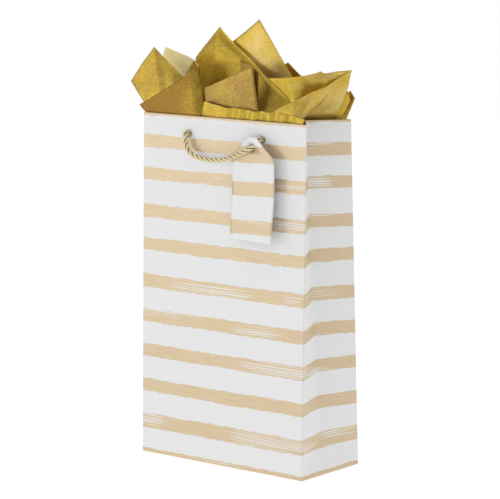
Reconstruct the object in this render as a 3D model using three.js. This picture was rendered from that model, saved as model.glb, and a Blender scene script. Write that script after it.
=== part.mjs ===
// A paper gift bag with stripes, two twisted cord handles, a gift tag and gold tissue paper.
// Millimetres, +Z up. The origin is the centre of the base's underside, the front faces -Y,
// and X runs across the width. The bag is pinched a little at the top by its side folds.
import * as THREE from 'three';

// ---- driving dimensions ----
const WIDTH = 196; // across the front
const DEPTH = 88; // front to back at the base
const HEIGHT = 330;
const FRONT_LEAN = 5.1; // how far the front's top edge leans in
const BACK_LEAN = 14.6; // how far the back's top edge leans in
const PAPER = 0.4; // printed paper with its lamination
const CARD = 0.5; // reinforcing cards behind the cord holes
const BOARD = 1.2; // loose card on the floor of the bag
const GAP = 0.3; // clearance between neighbouring layers
const EDGE_GAP = 0.1; // panels stop this far short of the base plane and of the rim
const HEM = 32; // paper turned in at the mouth
const HEM_INSET = 6; // front and back hems and cards stop this far from the corners
const SEAM = 18; // width of the glued seam
const SEAM_INSET = 4; // seam flap's distance from the corner and from the hem
const FLAP_OVERLAP = 14; // how far a base flap passes the centre line

const CORD = 5.2; // diameter of the twisted cord
const HOLE_RADIUS = 3; // cord hole in the paper
const HOLE_DROP = 17; // hole centre below the rim
const HOLE_SPREAD = 88; // between the two holes of a handle
const HOLE_SHIFT = 3; // both pairs are punched this far off the centre line
const CORD_STANDOFF = 5.3; // cord axis outside the panel where it turns down
const TAIL_DROP = 68; // length of cord hanging inside, down to its knot
const KNOT_RADIUS = 5.5;
const KNOT_HEIGHT = 11;

const TAG_WIDTH = 53.5;
const TAG_THICKNESS = 0.5;
const TAG_RISE = 9.7; // top edge above the hole
const TAG_SHOULDER = 9.3; // shoulders below the hole
const TAG_DROP = 87; // bottom edge below the hole
const TAG_TOP_HALF = 4.5; // half of the short flat top edge
const TAG_HOLE_RADIUS = 4.5;
const TAG_HOLE = new THREE.Vector3(41.5, -47.1, 306);
const TAG_TURN = THREE.MathUtils.degToRad(-5); // its right side stands further out

const TISSUE = 0.6;
const TISSUE_FOOT = 200; // height of the tissue's lower edge inside the bag

// ---- finishes ----
function finish(color, roughness, metalness = 0) {
  return new THREE.MeshStandardMaterial({ color, roughness, metalness });
}

const printedPaper = finish(0xf2f0ec, 0.45);
const innerPaper = finish(0xf6f5f2, 0.8);
const cardStock = finish(0xe4ddd0, 0.9);
const goldCord = finish(0xd9c48a, 0.4, 0.2);
const tagCard = finish(0xf1efe9, 0.5);
const goldTissue = finish(0xb8953a, 0.5, 0.3);

const bag = new THREE.Group();

// ---- the shape of the folded paper ----
const halfWidth = WIDTH / 2;
const frontY = (z) => -DEPTH / 2 + (FRONT_LEAN * z) / HEIGHT;
const backY = (z) => DEPTH / 2 - (BACK_LEAN * z) / HEIGHT;
const creaseY = (z) => (frontY(z) + backY(z)) / 2;
const APEX = DEPTH / 2; // height where the two base creases of a side meet

// A side panel is as wide as the base is deep, so it folds inwards where the bag gets thinner.
function creaseInset(z) {
  const level = Math.max(z, APEX);
  const half = (backY(level) - frontY(level)) / 2;
  return Math.sqrt((DEPTH / 2) ** 2 - half ** 2);
}

function addMesh(parent, name, geometry, material) {
  const mesh = new THREE.Mesh(geometry, material);
  mesh.name = name;
  parent.add(mesh);
  return mesh;
}

function extruded(shape, depth) {
  return new THREE.ExtrudeGeometry(shape, { depth, bevelEnabled: false, curveSegments: 10 });
}

function polygon(points) {
  return new THREE.Shape(points.map(([x, y]) => new THREE.Vector2(x, y)));
}

function rectangle(x0, y0, x1, y1) {
  return polygon([[x0, y0], [x1, y0], [x1, y1], [x0, y1]]);
}

function addHole(shape, x, y, radius) {
  const hole = new THREE.Path();
  hole.absarc(x, y, radius, 0, Math.PI * 2, true);
  shape.holes.push(hole);
}

// A thin sheet bent along surface(u, v), u and v from 0 to 1, with its thickness behind it.
function bentSheet(surface, columns, rows, thickness) {
  const geometry = new THREE.BoxGeometry(1, 1, 1, columns, rows, 1);
  const place = geometry.attributes.position;
  const step = 0.01;
  for (let i = 0; i < place.count; i++) {
    const u = place.getX(i) + 0.5;
    const v = place.getY(i) + 0.5;
    const uLow = Math.max(u - step, 0);
    const vLow = Math.max(v - step, 0);
    const across = surface(Math.min(u + step, 1), v).sub(surface(uLow, v));
    const up = surface(u, Math.min(v + step, 1)).sub(surface(u, vLow));
    const behind = across.cross(up).normalize().multiplyScalar((place.getZ(i) - 0.5) * thickness);
    const point = surface(u, v).add(behind);
    place.setXYZ(i, point.x, point.y, point.z);
  }
  matchDiagonals(geometry);
  return geometry;
}

// Splits the quads of a box's back face along the same diagonals as its front face,
// so that both faces of a twisted sheet stay one thickness apart.
function matchDiagonals(geometry) {
  const index = geometry.index.array;
  const back = geometry.groups[5];
  for (let i = back.start; i < back.start + back.count; i += 6) {
    const [a, b, d, , c] = index.slice(i, i + 5);
    index.set([a, b, c, a, c, d], i);
  }
}

function lerpRow(row, u) {
  const along = u * (row.length - 1);
  const i = Math.min(Math.floor(along), row.length - 2);
  return row[i].clone().lerp(row[i + 1], along - i);
}

// ---- front and back walls ----
// Local x runs along the wall, y up its slope and z out of the bag, from the wall's outer face.
function wallGroup(lean, turned) {
  const slope = new THREE.Group();
  slope.position.y = -DEPTH / 2;
  slope.rotation.x = Math.PI / 2 - Math.atan(lean / HEIGHT);
  const facing = new THREE.Group();
  facing.rotation.z = turned ? Math.PI : 0;
  facing.add(slope);
  bag.add(facing);
  return slope;
}

function wallLayer(wall, name, material, { low, high, inset, thickness, behind, holeRadius, shift }) {
  const x = halfWidth - inset;
  const shape = rectangle(-x, low, x, high);
  for (const side of [-1, 1]) {
    addHole(shape, shift + (side * HOLE_SPREAD) / 2, HEIGHT - HOLE_DROP, holeRadius);
  }
  const geometry = extruded(shape, thickness);
  geometry.translate(0, 0, -behind - thickness);
  addMesh(wall, name, geometry, material);
}

for (const [side, lean, turned] of [['front', FRONT_LEAN, false], ['back', BACK_LEAN, true]]) {
  const wall = wallGroup(lean, turned);
  const shift = turned ? -HOLE_SHIFT : HOLE_SHIFT;
  const cardBehind = PAPER + GAP;
  const hemBehind = cardBehind + CARD + GAP;
  const top = HEIGHT - EDGE_GAP;
  wallLayer(wall, `${side}_panel`, printedPaper,
    { low: EDGE_GAP, high: top, inset: 0, thickness: PAPER, behind: 0, holeRadius: HOLE_RADIUS, shift });
  wallLayer(wall, `${side}_rim_card`, cardStock,
    { low: top - HEM + 2, high: top - 1, inset: HEM_INSET, thickness: CARD, behind: cardBehind,
      holeRadius: HOLE_RADIUS, shift });
  wallLayer(wall, `${side}_hem`, innerPaper,
    { low: top - HEM, high: top, inset: HEM_INSET, thickness: PAPER, behind: hemBehind,
      holeRadius: HOLE_RADIUS, shift });
}

// ---- sides: each is folded in along its middle, with a triangle at the base ----
// u runs from the corner of the bag to the middle crease, z is the height; half is -1 in front.
function gussetPoint(side, half, u, z, inward) {
  const edge = half < 0 ? frontY(z) + PAPER + GAP : backY(z) - PAPER - GAP;
  const crease = creaseY(z) + half * (GAP / 2 + inward * 0.4);
  const x = halfWidth - inward - u * creaseInset(z);
  return new THREE.Vector3(side * x, edge + (crease - edge) * u, z);
}

function gussetHalf(side, half) {
  const surface = (u, v) => {
    const across = side * half > 0 ? 1 - u : u;
    const low = 0.6 + (APEX + 0.2) * across;
    return gussetPoint(side, half, across, low + (HEIGHT - low) * v, 0);
  };
  return bentSheet(surface, 2, 6, PAPER);
}

function gussetHem(side, half) {
  const inward = PAPER + GAP;
  const surface = (u, v) => {
    const across = side * half > 0 ? 1 - u : u;
    const fromEdge = 0.14 + 0.82 * across; // stays clear of the front and back hems
    return gussetPoint(side, half, fromEdge, HEIGHT - HEM + HEM * v, inward * 1.6);
  };
  return bentSheet(surface, 1, 1, PAPER);
}

function baseTriangle(side) {
  const rise = Math.hypot(APEX, creaseInset(APEX));
  const half = DEPTH / 2 - 1.2;
  const geometry = extruded(polygon([[-half, 0.3], [half, 0.3], [0, rise - 1.4]]), PAPER);
  geometry.translate(0, 0, -PAPER);
  const lean = Math.atan(creaseInset(APEX) / APEX);
  const along = new THREE.Vector3(0, side, 0);
  const up = new THREE.Vector3(-side * Math.sin(lean), 0, Math.cos(lean));
  const out = along.clone().cross(up);
  geometry.applyMatrix4(new THREE.Matrix4().makeBasis(along, up, out));
  geometry.translate(side * halfWidth, 0, 0);
  return geometry;
}

for (const [label, side] of [['left', -1], ['right', 1]]) {
  addMesh(bag, `${label}_gusset_front`, gussetHalf(side, -1), printedPaper);
  addMesh(bag, `${label}_gusset_rear`, gussetHalf(side, 1), printedPaper);
  addMesh(bag, `${label}_gusset_base`, baseTriangle(side), printedPaper);
  addMesh(bag, `${label}_hem_front`, gussetHem(side, -1), innerPaper);
  addMesh(bag, `${label}_hem_rear`, gussetHem(side, 1), innerPaper);
}

// ---- glued seam inside the back panel ----
const seamWall = wallGroup(BACK_LEAN, true);
const seamEdge = halfWidth - SEAM_INSET;
const seam = extruded(rectangle(seamEdge - SEAM, 6, seamEdge, HEIGHT - HEM - SEAM_INSET), PAPER);
seam.translate(0, 0, -2 * PAPER - GAP);
addMesh(seamWall, 'seam_flap', seam, innerPaper);

// ---- base: two glued flaps, two tucked side flaps and a loose board ----
function baseLayer(name, shape, level, thickness, material) {
  const geometry = extruded(shape, thickness);
  geometry.translate(0, 0, level);
  addMesh(bag, name, geometry, material);
}

const baseX = halfWidth - 1.2;
const baseY = DEPTH / 2 - PAPER - GAP - 0.2;
const layer = PAPER + GAP;
baseLayer('base_outer_flap', rectangle(-baseX, -baseY, baseX, FLAP_OVERLAP), 0, PAPER, printedPaper);
baseLayer('base_inner_flap', rectangle(-baseX, -FLAP_OVERLAP, baseX, baseY), layer, PAPER, printedPaper);
for (const [label, side] of [['left', -1], ['right', 1]]) {
  const edge = side * (baseX - 0.6);
  const reach = side * (baseX - APEX + 2);
  const wide = baseY - 1;
  const narrow = DEPTH / 4;
  const trapezium = polygon([[edge, -wide], [edge, wide], [reach, narrow], [reach, -narrow]]);
  baseLayer(`${label}_base_flap`, trapezium, 2 * layer, PAPER, innerPaper);
}
const boardX = baseX - 1.8;
const boardY = baseY - 0.5;
baseLayer('base_board', rectangle(-boardX, -boardY, boardX, boardY), 3 * layer, BOARD, cardStock);

// ---- cord handles ----
const cordSection = new THREE.Shape();
cordSection.absarc(0, 0, CORD / 2, 0, Math.PI * 2, false);

function cordTube(points, steps) {
  const route = new THREE.CatmullRomCurve3(points.map((p) => new THREE.Vector3(...p)));
  return new THREE.ExtrudeGeometry(cordSection,
    { steps, curveSegments: 5, bevelEnabled: false, extrudePath: route });
}

const holeZ = HEIGHT - HOLE_DROP;
const leftHoleX = HOLE_SHIFT - HOLE_SPREAD / 2;
const rightHoleX = HOLE_SHIFT + HOLE_SPREAD / 2;
const frontElbowY = frontY(holeZ) - CORD_STANDOFF;
const backElbowY = backY(holeZ) + CORD_STANDOFF;

// The front loop hangs in front of the tag, passes back through the tag's hole and turns in.
const frontLoop = [
  [leftHoleX, frontElbowY, holeZ],
  [leftHoleX + 0.1, -44.8, 308],
  [-38.8, -45.6, 301.2],
  [-33.8, -45.9, 295.9],
  [-26.5, -46, 292.8],
  [-17, -46.1, 291.4],
  [-6, -46.4, 291.2],
  [6, -47.1, 292.6],
  [17, -48.3, 295.4],
  [27, -49.2, 299],
  [35, -49.8, 302.2],
  [38.6, -49.5, 304],
  [TAG_HOLE.x, TAG_HOLE.y, TAG_HOLE.z],
  [44, -44.7, 308],
  [46.4, -44, 310.4],
  [rightHoleX, frontElbowY, holeZ],
];

// The back loop hangs evenly between its holes, against the back panel.
const backLoop = [
  [rightHoleX, backElbowY, holeZ],
  [46.6, 37, 307],
  [43.5, 37.8, 300.5],
  [38, 38.3, 295.6],
  [30, 38.7, 292],
  [20, 38.9, 290],
  [HOLE_SHIFT, 39.1, 289],
  [-14, 38.9, 290],
  [-24, 38.7, 292],
  [-32, 38.3, 295.6],
  [-37.5, 37.8, 300.5],
  [-40.6, 37, 307],
  [leftHoleX, backElbowY, holeZ],
];

addMesh(bag, 'front_handle_loop', cordTube(frontLoop, 56), goldCord);
addMesh(bag, 'back_handle_loop', cordTube(backLoop, 48), goldCord);

// Each end passes through its hole and hangs down inside to a knot. inside is +1 from the front.
function cordTail(x, elbowY, inside) {
  const from = elbowY + inside * (CORD / 2 + GAP);
  const drop = elbowY + inside * 10.8;
  const end = holeZ - TAIL_DROP;
  return cordTube([
    [x, from, holeZ],
    [x, from + inside * 2, holeZ],
    [x, from + inside * 4.4, holeZ - 0.1],
    [x, drop - inside * 1.2, holeZ - 1.8],
    [x, drop, holeZ - 5.4],
    [x, drop + inside * 0.3, holeZ - 24],
    [x, drop + inside * 0.3, holeZ - 46],
    [x, drop + inside * 0.3, end],
  ], 22);
}

function knot() {
  const profile = [[0, 0], [3.2, 0], [KNOT_RADIUS - 0.5, 2.4], [KNOT_RADIUS, KNOT_HEIGHT / 2],
    [KNOT_RADIUS - 0.5, KNOT_HEIGHT - 2.4], [3.2, KNOT_HEIGHT], [0, KNOT_HEIGHT]];
  const geometry = new THREE.LatheGeometry(profile.map(([r, z]) => new THREE.Vector2(r, z)), 12);
  geometry.rotateX(Math.PI / 2);
  return geometry;
}

for (const [place, elbowY, inside] of [['front', frontElbowY, 1], ['back', backElbowY, -1]]) {
  for (const [label, x] of [['left', leftHoleX], ['right', rightHoleX]]) {
    addMesh(bag, `${place}_${label}_cord_tail`, cordTail(x, elbowY, inside), goldCord);
    const bead = addMesh(bag, `${place}_${label}_knot`, knot(), goldCord);
    bead.position.set(x, elbowY + inside * 12.6, holeZ - TAIL_DROP - GAP - KNOT_HEIGHT);
  }
}

// ---- gift tag ----
const tagHalf = TAG_WIDTH / 2;
const tagShape = polygon([[-tagHalf, -TAG_DROP], [tagHalf, -TAG_DROP], [tagHalf, -TAG_SHOULDER],
  [TAG_TOP_HALF, TAG_RISE], [-TAG_TOP_HALF, TAG_RISE], [-tagHalf, -TAG_SHOULDER]]);
addHole(tagShape, 0, 0, TAG_HOLE_RADIUS);
const tagGeometry = extruded(tagShape, TAG_THICKNESS);
tagGeometry.translate(0, 0, -TAG_THICKNESS / 2);
const tag = addMesh(bag, 'gift_tag', tagGeometry, tagCard);
tag.position.copy(TAG_HOLE);
tag.rotation.order = 'ZYX';
tag.rotation.x = Math.PI / 2;
tag.rotation.z = TAG_TURN;

// ---- tissue paper: each sheet is gathered inside and opens into points above the rim ----
// A column is its point above the rim [x, y, z], then [x, y] at the rim and [x, y] at its foot.
const tissueSheets = {
  tissue_left: [
    [[-118, -33, 358], [-84, -31], [-50, -10]],
    [[-92, -30, 391], [-70, -31], [-44, -12]],
    [[-56, -31, 364], [-55, -31], [-36, -13]],
    [[-37, -29, 377], [-34, -30.5], [-26, -13]],
    [[-43, -18, 378], [-33, -21], [-25, -8]],
    [[-88, -14, 391], [-58, -18], [-38, -5]],
    [[-84, -6, 378], [-63, -10], [-46, -3]],
  ],
  tissue_centre: [
    [[-66, 0, 377], [-52, -4], [-30, 2]],
    [[-35, 0, 410], [-30, -6], [-18, 2]],
    [[-20, 1, 398], [-12, -5], [-6, 3]],
    [[12, 1, 419], [10, -4], [6, 3]],
    [[34, 1, 393], [28, -4], [16, 3]],
    [[52, 0, 368], [44, -4], [26, 2]],
  ],
  tissue_front: [
    [[-27, -31, 355], [-24, -32], [-14, -14]],
    [[0, -30, 367], [0, -32.5], [0, -15]],
    [[26, -28, 378], [27, -32], [14, -14]],
    [[40, -20, 352], [36, -24], [20, -10]],
  ],
  tissue_right: [
    [[44, -27, 367], [50, -30], [28, -10]],
    [[71, -22, 369], [66, -29], [36, -9]],
    [[88, -8, 376], [70, -20], [40, -6]],
    [[102, 6, 375], [64, -6], [42, -2]],
    [[109, 14, 377], [68, 8], [42, 3]],
    [[101, 19, 350], [74, 15], [38, 5]],
  ],
  tissue_back: [
    [[-62, 14, 352], [-46, 12], [-24, 10]],
    [[-20, 16, 372], [-12, 14], [-8, 11]],
    [[34, 17, 380], [24, 14], [8, 11]],
    [[60, 20, 362], [48, 16], [22, 10]],
    [[88, 25, 352], [64, 20], [30, 10]],
    [[105, 26, 357], [72, 22], [34, 10]],
  ],
};

function tissueSheet(columns) {
  const tops = columns.map(([top]) => new THREE.Vector3(...top));
  const rims = columns.map(([, [x, y]]) => new THREE.Vector3(x, y, HEIGHT));
  const feet = columns.map(([, , [x, y]]) => new THREE.Vector3(x, y, TISSUE_FOOT));
  const surface = (u, v) => {
    const low = v < 0.5 ? lerpRow(feet, u) : lerpRow(rims, u);
    const high = v < 0.5 ? lerpRow(rims, u) : lerpRow(tops, u);
    return low.lerp(high, v < 0.5 ? v * 2 : v * 2 - 1);
  };
  return bentSheet(surface, columns.length - 1, 2, TISSUE);
}

for (const [name, columns] of Object.entries(tissueSheets)) {
  addMesh(bag, name, tissueSheet(columns), goldTissue);
}

export default bag;
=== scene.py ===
"""Looks of a striped paper gift bag with two twisted cord handles, a gift tag and gold tissue.

Lengths are in millimetres up to add_mesh, which makes metres of them, and in metres for the
camera and the lights. The frame is the CAD's: +Z up, the front towards -Y, the origin at the
centre of the base's underside.
"""
import math

import bpy
import numpy as np
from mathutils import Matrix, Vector, noise


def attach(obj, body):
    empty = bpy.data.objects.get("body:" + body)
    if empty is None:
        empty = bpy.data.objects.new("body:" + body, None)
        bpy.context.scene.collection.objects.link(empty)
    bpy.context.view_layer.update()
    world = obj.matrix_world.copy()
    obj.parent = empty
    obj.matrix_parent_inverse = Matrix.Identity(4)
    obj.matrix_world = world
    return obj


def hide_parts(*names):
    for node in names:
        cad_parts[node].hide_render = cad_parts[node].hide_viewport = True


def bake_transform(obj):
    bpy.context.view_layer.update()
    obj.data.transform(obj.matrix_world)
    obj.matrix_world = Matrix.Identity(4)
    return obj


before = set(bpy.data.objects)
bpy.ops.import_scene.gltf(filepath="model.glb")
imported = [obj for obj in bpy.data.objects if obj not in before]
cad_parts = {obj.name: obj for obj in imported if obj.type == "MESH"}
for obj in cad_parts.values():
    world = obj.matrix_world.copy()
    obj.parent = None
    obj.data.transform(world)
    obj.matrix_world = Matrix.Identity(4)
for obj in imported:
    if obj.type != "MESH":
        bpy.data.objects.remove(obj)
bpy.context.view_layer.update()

MM = 0.001

# ---- sizes of the folded paper, as in the CAD ----
WIDTH = 196
DEPTH = 88
HEIGHT = 330
FRONT_LEAN = 5.1
BACK_LEAN = 14.6
APEX = DEPTH / 2  # height where the two base creases of a side meet
HEM = 32
PAPER = 0.3  # thickness
HALF = WIDTH / 2
SIDE = DEPTH / 2  # paper from a corner to the middle crease of a side
ROUND = 2 * (WIDTH + DEPTH)  # paper once round the bag
RIGHT_SIDE = WIDTH  # where the right side starts, going round from the front's left corner
BACK = WIDTH + DEPTH
LEFT_SIDE = 2 * WIDTH + DEPTH

# ---- softness of the paper, seen only here ----
SOFTEN_ROUND = 0.8  # half width of the softened upright folds
SOFTEN_UP = 0.6  # and of the folds that run round the bag
RIM_RADIUS = 0.85  # half the thickness of the turned-in rim at the front and back
SIDE_RIM_RADIUS = 0.35
CORNER_RIM_RADIUS = 0.2
CURL = 1.2  # how far the wall turns under at the base
BULGE = 0.35  # unevenness of the panels
FOLD_SHADE_WIDTH = 0.5  # half width of the line of painted shade along a corner

# ---- cords, as in the CAD, and how finely their strands are made ----
CORD = 5.2
HOLE_X = (-41, 47)
HOLE_Z = 313
HOLE_RADIUS = 3.1
FRONT_ELBOW_Y = -44.463  # middle of the cord where it turns down outside a hole
BACK_ELBOW_Y = 35.452
STRANDS = 3
STRAND_RADIUS = 1.2
STRAND_OFFSET = 1.4
STRAND_SIDES = 14
LAY = 18  # length of one turn of the twist
ROPE_STEP = 0.8  # length of the strands' mesh faces
THREAD_STEP = 0.6  # threads' coordinate from one side of a strand to the next


def front_y(z):
    """Where the leaning front is at height z."""
    return -DEPTH / 2 + FRONT_LEAN * z / HEIGHT


def back_y(z):
    return DEPTH / 2 - BACK_LEAN * z / HEIGHT


def smooth(x, low, high):
    """0 up to low and 1 from high on, smoothly between."""
    t = np.clip((np.asarray(x, float) - low) / (high - low), 0, 1)
    return t * t * (3 - 2 * t)


def smooth_between(values, at):
    """A Catmull-Rom curve through rows of values, at places from 0 to len(values) - 1."""
    values = np.asarray(values, float)
    padded = np.concatenate([2 * values[:1] - values[1:2], values, 2 * values[-1:] - values[-2:-1]])
    i = np.minimum(at.astype(int), len(values) - 2)
    t = (at - i).reshape(-1, *[1] * (values.ndim - 1))
    p0, p1, p2, p3 = (padded[i + k] for k in range(4))
    return 0.5 * (2 * p1 + (p2 - p0) * t + (2 * p0 - 5 * p1 + 4 * p2 - p3) * t ** 2
                  + (3 * p1 - p0 - 3 * p2 + p3) * t ** 3)


# ---------------- meshes
def add_mesh(name, points, faces, materials):
    """A mesh object from points in millimetres."""
    mesh = bpy.data.meshes.new(name)
    mesh.from_pydata((np.asarray(points, float) * MM).tolist(), [], faces)
    for material in materials:
        mesh.materials.append(material)
    mesh.polygons.foreach_set("use_smooth", [True] * len(mesh.polygons))
    mesh.update()
    piece = bpy.data.objects.new(name, mesh)
    bpy.context.scene.collection.objects.link(piece)
    return piece


def set_uv(piece, corner_uv):
    layer = piece.data.uv_layers.new(name="paper")
    layer.data.foreach_set("uv", np.asarray(corner_uv, float).ravel())


def set_values(piece, name, values):
    attribute = piece.data.attributes.new(name, "FLOAT", "POINT")
    attribute.data.foreach_set("value", np.asarray(values, np.float32))


def thicken(piece, thickness, offset=-1):
    """Gives a sheet its thickness. With two materials, the second one is on the inside."""
    modifier = piece.modifiers.new("thickness", "SOLIDIFY")
    modifier.thickness = thickness * MM
    modifier.offset = offset
    modifier.use_even_offset = False
    if len(piece.data.materials) > 1:
        modifier.material_offset = 1
        modifier.material_offset_rim = 1


class PaperGrid:
    """A grid of points on flat paper, with round holes, that is bent into place afterwards.

    place holds each point's place on the paper, by row and column. A hole is a block of cells
    whose inside is taken out and whose edge is joined to a circle. With closed set, the last
    column of points is the first one again.
    """

    def __init__(self, place, closed=False):
        self.place = np.asarray(place, float)
        rows, columns = self.place.shape[:2]
        self.columns = columns - 1 if closed else columns
        self.points = [tuple(p) for row in self.place for p in row[: self.columns]]
        self.taken = set()
        self.faces = []
        self.corners = []

    def index(self, row, column):
        return row * self.columns + column % self.columns

    def add_face(self, indices, corners):
        self.faces.append(tuple(indices))
        self.corners.extend(tuple(c) for c in corners)

    def add_hole(self, centre, radius, row_range, column_range):
        """Joins the edge of a block of cells to a circle on the paper."""
        (top, bottom), (left, right) = row_range, column_range
        self.taken.update((r, c) for r in range(top, bottom) for c in range(left, right))
        edge = [(top, c) for c in range(left, right)]
        edge += [(r, right) for r in range(top, bottom)]
        edge += [(bottom, c) for c in range(right, left, -1)]
        edge += [(r, left) for r in range(bottom, top, -1)]
        outer = [self.place[spot] for spot in edge]
        away = [spot - centre for spot in outer]
        inner = [centre + way / np.linalg.norm(way) * radius for way in away]
        first = len(self.points)
        self.points.extend(tuple(p) for p in inner)
        for i, (r, c) in enumerate(edge):
            j = (i + 1) % len(edge)
            indices = (self.index(r, c), self.index(*edge[j]), first + j, first + i)
            self.add_face(indices, (outer[i], outer[j], inner[j], inner[i]))

    def fill(self, split=None):
        """Adds the faces of all cells but the holes'. split says which diagonal a cell needs."""
        rows, columns = self.place.shape[:2]
        for r in range(rows - 1):
            for c in range(columns - 1):
                if (r, c) in self.taken:
                    continue
                cell = [(r, c), (r, c + 1), (r + 1, c + 1), (r + 1, c)]
                way = split(r, c) if split else 0
                if way == 0:
                    parts = [cell]
                elif way > 0:
                    parts = [cell[:3], [cell[2], cell[3], cell[0]]]
                else:
                    parts = [[cell[0], cell[1], cell[3]], cell[1:]]
                for part in parts:
                    self.add_face([self.index(*p) for p in part], [self.place[p] for p in part])


# ---------------- material nodes
class Shader:
    """A material's node tree, with short calls to add nodes to it."""

    def __init__(self, name):
        self.material = bpy.data.materials.new(name)
        self.material.use_nodes = True
        self.tree = self.material.node_tree
        self.main = self.tree.nodes["Principled BSDF"]
        self.output = self.tree.nodes["Material Output"]

    def node(self, kind, settings=None, **inputs):
        made = self.tree.nodes.new("ShaderNode" + kind)
        for key, value in (settings or {}).items():
            setattr(made, key, value)
        self.feed_all(made, inputs)
        return made

    def feed_all(self, node, inputs):
        for key, value in inputs.items():
            self.feed(node.inputs[key.replace("_", " ")], value)

    def feed(self, socket, value):
        if isinstance(value, bpy.types.NodeSocket):
            self.tree.links.new(value, socket)
        else:
            socket.default_value = value

    def surface(self, **inputs):
        """Feeds the main shader and returns the finished material."""
        self.feed_all(self.main, inputs)
        return self.material

    def math(self, operation, *values):
        made = self.node("Math", {"operation": operation})
        for socket, value in zip(made.inputs, values):
            self.feed(socket, value)
        return made.outputs[0]

    def value(self, name):
        return self.node("Attribute", {"attribute_name": name}).outputs["Fac"]

    def mapped(self, vector, scale, turn=0.0):
        made = self.node("Mapping", {"vector_type": "POINT"}, Vector=vector)
        made.inputs["Scale"].default_value = scale
        made.inputs["Rotation"].default_value = (0, 0, turn)
        return made.outputs[0]

    def paper_uv(self, scale=(1, 1), turn=0.0):
        """The flat paper's coordinates in millimetres, multiplied along and up the paper."""
        uv = self.node("UVMap", {"uv_map": "paper"}).outputs["UV"]
        return self.mapped(uv, (*scale, 1), turn)

    def place(self):
        """The piece's own coordinates in millimetres."""
        return self.mapped(self.node("TexCoord").outputs["Object"], (1 / MM,) * 3)

    def noise(self, vector, scale=1.0, detail=3.0, roughness=0.55):
        made = self.node("TexNoise", Vector=vector, Scale=scale, Detail=detail, Roughness=roughness)
        return made.outputs["Fac"]

    def bands(self, vector, scale, distortion, detail):
        """Lines along the paper, light and dark by turns."""
        made = self.node("TexWave", {"wave_type": "BANDS", "bands_direction": "Y"}, Vector=vector,
                         Scale=scale, Distortion=distortion, Detail=detail)
        return made.outputs["Fac"]

    def steps(self, value, low, high, to_low=0.0, to_high=1.0):
        """value from low to high becomes to_low to to_high, smoothly."""
        made = self.node("MapRange", {"interpolation_type": "SMOOTHSTEP"}, Value=value)
        for key, number in (("From Min", low), ("From Max", high),
                            ("To Min", to_low), ("To Max", to_high)):
            made.inputs[key].default_value = number
        return made.outputs["Result"]

    def mix(self, factor, a, b):
        """Colour a turning into colour b with the factor."""
        made = self.node("Mix", {"data_type": "RGBA"})
        self.feed(made.inputs[0], factor)
        for place, color in ((6, a), (7, b)):
            self.feed(made.inputs[place], (*color, 1) if isinstance(color, tuple) else color)
        return made.outputs[2]

    def ramp(self, value, stops):
        """A colour for value, from (place, colour) stops."""
        made = self.node("ValToRGB", Fac=value)
        marks = made.color_ramp.elements
        for i, (place, color) in enumerate(stops):
            mark = marks[i] if i < len(marks) else marks.new(place)
            mark.position = place
            mark.color = (*color, 1)
        return made.outputs["Color"]

    def bump(self, height, strength, distance, normal=None):
        made = self.node("Bump", Height=height, Strength=strength, Distance=distance * MM)
        if normal is not None:
            self.feed(made.inputs["Normal"], normal)
        return made.outputs["Normal"]


WHITE = (0.80, 0.80, 0.80)
INK = (0.655, 0.515, 0.33)
FOLD_SHADE = (0.42, 0.36, 0.30)  # painted shade along the bag's corners, where the paper turns
LINING = (0.82, 0.82, 0.81)
FLAP_WHITE = (0.82, 0.81, 0.79)
CARD_GREY = (0.66, 0.60, 0.50)
# painted shade for the grooves between the cord's strands
CORD_GROOVE_SHADE = (0.20, 0.12, 0.025)
CORD_SATIN = ((0.60, 0.46, 0.19), (0.95, 0.86, 0.58))
THREAD_ANGLE = math.radians(24)
RUBBED_GOLD = (0.70, 0.56, 0.34)
# Tissue colours by the pale_and_painted_light value: a dark end painted for shade, where the metallic
# coat turns away from the light or leaves lie in shadow, then the coat itself, then the paper side,
# pale in itself and painted paler for the light that comes through it.
TISSUE_GOLDS_AND_SHADE = ((0.0, (0.33, 0.18, 0.025)), (0.45, (0.76, 0.545, 0.055)), (1.0, (0.95, 0.88, 0.61)))


def shade(color, factor):
    return tuple(factor * c for c in color)


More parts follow.
